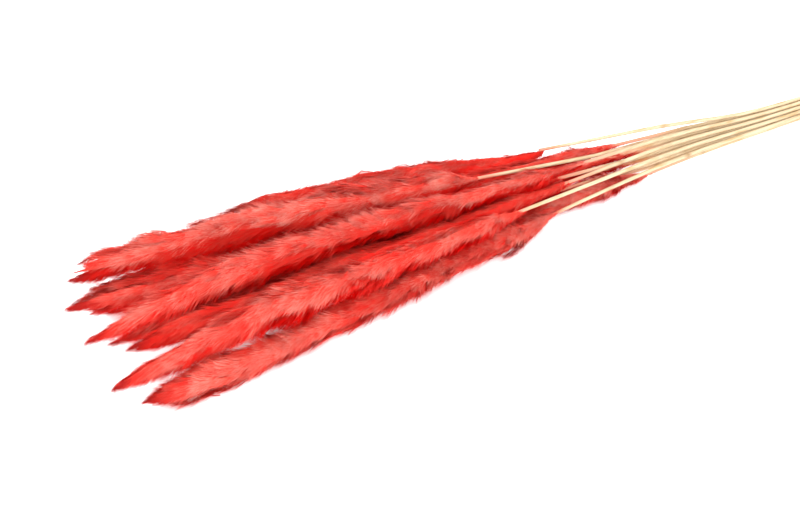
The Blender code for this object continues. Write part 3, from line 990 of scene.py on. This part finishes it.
def reed_tree(material):
    """A round reed along its middle line, with a hollow cut end."""
    nodes, given = new_geometry_tree("reed", {
        "Points": ("NodeSocketInt", REED_POINTS),
        "Sides": ("NodeSocketInt", REED_SIDES),
        "Hollow": ("NodeSocketFloat", 0.5),
        "Hollow depth": ("NodeSocketFloat", 7 * MM),
        "Foot": ("NodeSocketFloat", 0.0),
        "Joint": ("NodeSocketFloat", 0.0),
        "Dye reach": ("NodeSocketFloat", DYE_REACH),
        "Shift": ("NodeSocketVector", None),
    })
    line = nodes.add("GeometryNodeMeshToCurve", (), {"Mesh": given["Geometry"]})
    line = nodes.add("GeometryNodeResampleCurve", {"mode": "COUNT"}, {
        "Curve": line, "Count": given["Points"]})
    here = nodes.add("GeometryNodeInputPosition")
    uneven = nodes.noise((here + given["Shift"]) * SWELLS_PER_METRE)
    radius = nodes.attribute("reach") * (REED_GIRTH + uneven * REED_UNEVENNESS)
    ring = nodes.add("GeometryNodeCurvePrimitiveCircle", (), {
        "Resolution": given["Sides"], "Radius": 1.0})
    reed = nodes.add("GeometryNodeCurveToMesh", (), {
        "Curve": line, "Profile Curve": ring, "Fill Caps": True, "Scale": radius})
    reed = nodes.stored(reed, "inside", 0.0)

    # The cut end is a ring of wall round a hollow
    facing_x = nodes.parts(nodes.add("GeometryNodeInputNormal"))[0]
    x = nodes.parts(nodes.add("GeometryNodeInputPosition"))[0]
    at_end = nodes.maths("GREATER_THAN", facing_x, END_FACING)
    at_end = at_end * nodes.maths("GREATER_THAN", x, given["Joint"])
    wall = nodes.add("GeometryNodeExtrudeMesh", {"mode": "FACES"}, {
        "Mesh": reed, "Selection": at_end, "Offset Scale": 0.0})
    inner = nodes.add("GeometryNodeScaleElements", (), {
        "Geometry": wall, "Selection": wall.output("Top"), "Scale": given["Hollow"]})
    hollow = nodes.add("GeometryNodeExtrudeMesh", {"mode": "FACES"}, {
        "Mesh": inner, "Selection": wall.output("Top"),
        "Offset Scale": given["Hollow depth"] * -1.0})
    reed = nodes.add("GeometryNodeStoreNamedAttribute", {"data_type": "FLOAT", "domain": "POINT"}, {
        "Geometry": hollow, "Selection": hollow.output("Top"), "Name": "inside", "Value": 1.0})

    # Dye has soaked down from the plume to a ragged edge, and the joint has a scar
    here = nodes.add("GeometryNodeInputPosition")
    ragged = nodes.noise((here + given["Shift"]) * RAGS_PER_METRE) - 0.5
    from_foot = x - given["Foot"] + ragged * RAGGED_DYE
    dye = nodes.between(0.0, given["Dye reach"], from_foot, FULL_DYE, 0.0)
    reed = nodes.stored(reed, "dye", dye)
    from_joint = nodes.maths("ABSOLUTE", x - given["Joint"])
    reed = nodes.stored(reed, "scar", nodes.between(0.0, SCAR_REACH, from_joint, 1.0, 0.0))
    reed = nodes.add("GeometryNodeRealizeInstances", (), {"Geometry": reed})
    reed = nodes.add("GeometryNodeSetMaterial", (), {"Geometry": reed, "Material": material})
    finish_tree(nodes, reed)
    return nodes.tree


def fine_line(centres, reaches):
    """The rings' centres, with more points close to a swelling so that it keeps its form."""
    swelling = int(np.argmax(reaches))
    xs = np.linspace(centres[0, 0], centres[-1, 0], REED_POINTS)
    near = centres[swelling, 0] + np.array(JOINT_POINTS)
    xs = np.sort(np.concatenate((xs, near)))
    xs = xs[(xs >= centres[0, 0]) & (xs <= centres[-1, 0])]
    return places_at(xs, centres), np.interp(xs, centres[:, 0], reaches), centres[swelling, 0]


def make_stems():
    tree = reed_tree(reed_material())
    for number in range(1, PLUME_COUNT + 1):
        node = frame["nodes"][f"stem_{number:02d}"]
        places, reaches, joint = fine_line(*rings_of(node))
        line = line_object("reed_line", places, {"reach": reaches})
        piece = grown(f"stem_{number:02d}_reed", line, tree, {
            "Points": len(places), "Foot": float(places[0, 0]), "Joint": float(joint),
            "Dye reach": CLEAN_DYE_REACH if number in CLEAN_STEMS else DYE_REACH,
            "Shift": (number * 0.41, number * 0.29, 0.0)})
        drop_attributes(piece.data, ("dye", "scar", "inside"))
        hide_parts(node.name)
        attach(piece, "root")


def band_tree(material):
    """Turns of rubber side by side, each a flattened cord."""
    nodes, given = new_geometry_tree("band", {
        "Turns": ("NodeSocketInt", BAND_TURNS),
        "Turn width": ("NodeSocketFloat", BAND_TURN_WIDTH),
        "Thickness": ("NodeSocketFloat", BAND_THICKNESS),
    })
    line = nodes.add("GeometryNodeMeshToCurve", (), {"Mesh": given["Geometry"]})
    line = nodes.add("GeometryNodeResampleCurve", {"mode": "COUNT"}, {
        "Curve": line, "Count": BAND_POINTS})
    line = nodes.add("GeometryNodeSetCurveNormal", {"mode": "Z_UP"}, {"Curve": line})
    first_turn = (given["Turns"] - 1.0) * given["Turn width"] * -0.5
    spots = nodes.add("GeometryNodeMeshLine", {"mode": "OFFSET"}, {
        "Count": given["Turns"],
        "Start Location": nodes.vector(first_turn, 0.0, 0.0),
        "Offset": nodes.vector(given["Turn width"], 0.0, 0.0)})
    turns = nodes.add("GeometryNodeInstanceOnPoints", (), {"Points": spots, "Instance": line})
    turns = nodes.add("GeometryNodeRealizeInstances", (), {"Geometry": turns})
    here = nodes.add("GeometryNodeInputPosition")
    wander = (nodes.noise(here * WANDERS_PER_METRE) - 0.5) * given["Turn width"] * BAND_WANDER
    turns = nodes.add("GeometryNodeSetPosition", (), {
        "Geometry": turns, "Offset": nodes.vector(wander, 0.0, 0.0)})
    cord = nodes.add("GeometryNodeCurvePrimitiveCircle", (), {
        "Resolution": CORD_SIDES, "Radius": 1.0})
    cord = nodes.add("GeometryNodeTransform", (), {
        "Geometry": cord,
        "Scale": nodes.vector(given["Turn width"] * 0.5, given["Thickness"] * 0.5, 1.0)})
    band = nodes.add("GeometryNodeCurveToMesh", (), {"Curve": turns, "Profile Curve": cord})
    band = nodes.add("GeometryNodeSetMaterial", (), {"Geometry": band, "Material": material})
    finish_tree(nodes, band)
    return nodes.tree


def make_band():
    """The band follows the solid band's inner rim, half a cord's thickness outside it."""
    node = frame["nodes"]["rubber_band"]
    places = np.array([vertex.co[:] for vertex in node.data.vertices])
    rim = np.unique(np.round(places[places[:, 0] <= places[:, 0].min() + 1e-5], 6), axis=0)
    middle = rim.mean(axis=0)
    around = rim - middle
    rim = rim[np.argsort(np.arctan2(around[:, 2], around[:, 1]))]
    around = rim - middle
    around /= np.linalg.norm(around, axis=1)[:, None]
    ring = rim + around * BAND_THICKNESS * 0.5
    ring[:, 0] = (places[:, 0].min() + places[:, 0].max()) / 2
    line = line_object("band_line", list(ring) + [ring[0]], {})
    piece = grown("rubber_band_turns", line, band_tree(rubber_material()), {})
    drop_attributes(piece.data, ())
    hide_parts(node.name)
    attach(piece, "root")


# Surface and light


def lay_surface():
    corners = [(x * SURFACE_REACH, y * SURFACE_REACH, 0.0) for x, y in (
        (-1, -1), (1, -1), (1, 1), (-1, 1))]
    mesh = bpy.data.meshes.new("surface")
    mesh.from_pydata(corners, [], [(0, 1, 2, 3)])
    surface = bpy.data.objects.new("surface", mesh)
    bpy.context.scene.collection.objects.link(surface)
    material, _, _ = new_material(
        "surface", Base_Color=WHITE, Roughness=0.9,
        Emission_Color=WHITE, Emission_Strength=SURFACE_GLOW)
    mesh.materials.append(material)


def soft_light(name, place, size, power):
    """A round light that faces the middle of the bunch."""
    data = bpy.data.lights.new(name, "AREA")
    data.shape = "DISK"
    data.size = size
    data.energy = power
    light = bpy.data.objects.new(name, data)
    light.location = place
    x, y, z = place
    light.rotation_euler = (math.atan2(math.hypot(x, y), z), 0.0, math.atan2(-y, -x) - math.pi / 2)
    bpy.context.scene.collection.objects.link(light)


def light_scene():
    world = bpy.data.worlds.new("studio")
    world.use_nodes = True
    background = world.node_tree.nodes["Background"]
    background.inputs["Color"].default_value = WHITE
    background.inputs["Strength"].default_value = WORLD_STRENGTH
    bpy.context.scene.world = world
    soft_light("key", **KEY_LIGHT)
    soft_light("fill", **FILL_LIGHT)
    bpy.context.scene.view_settings.view_transform = "Standard"


place_camera()
make_plumes()
make_stems()
make_band()
lay_surface()
light_scene()
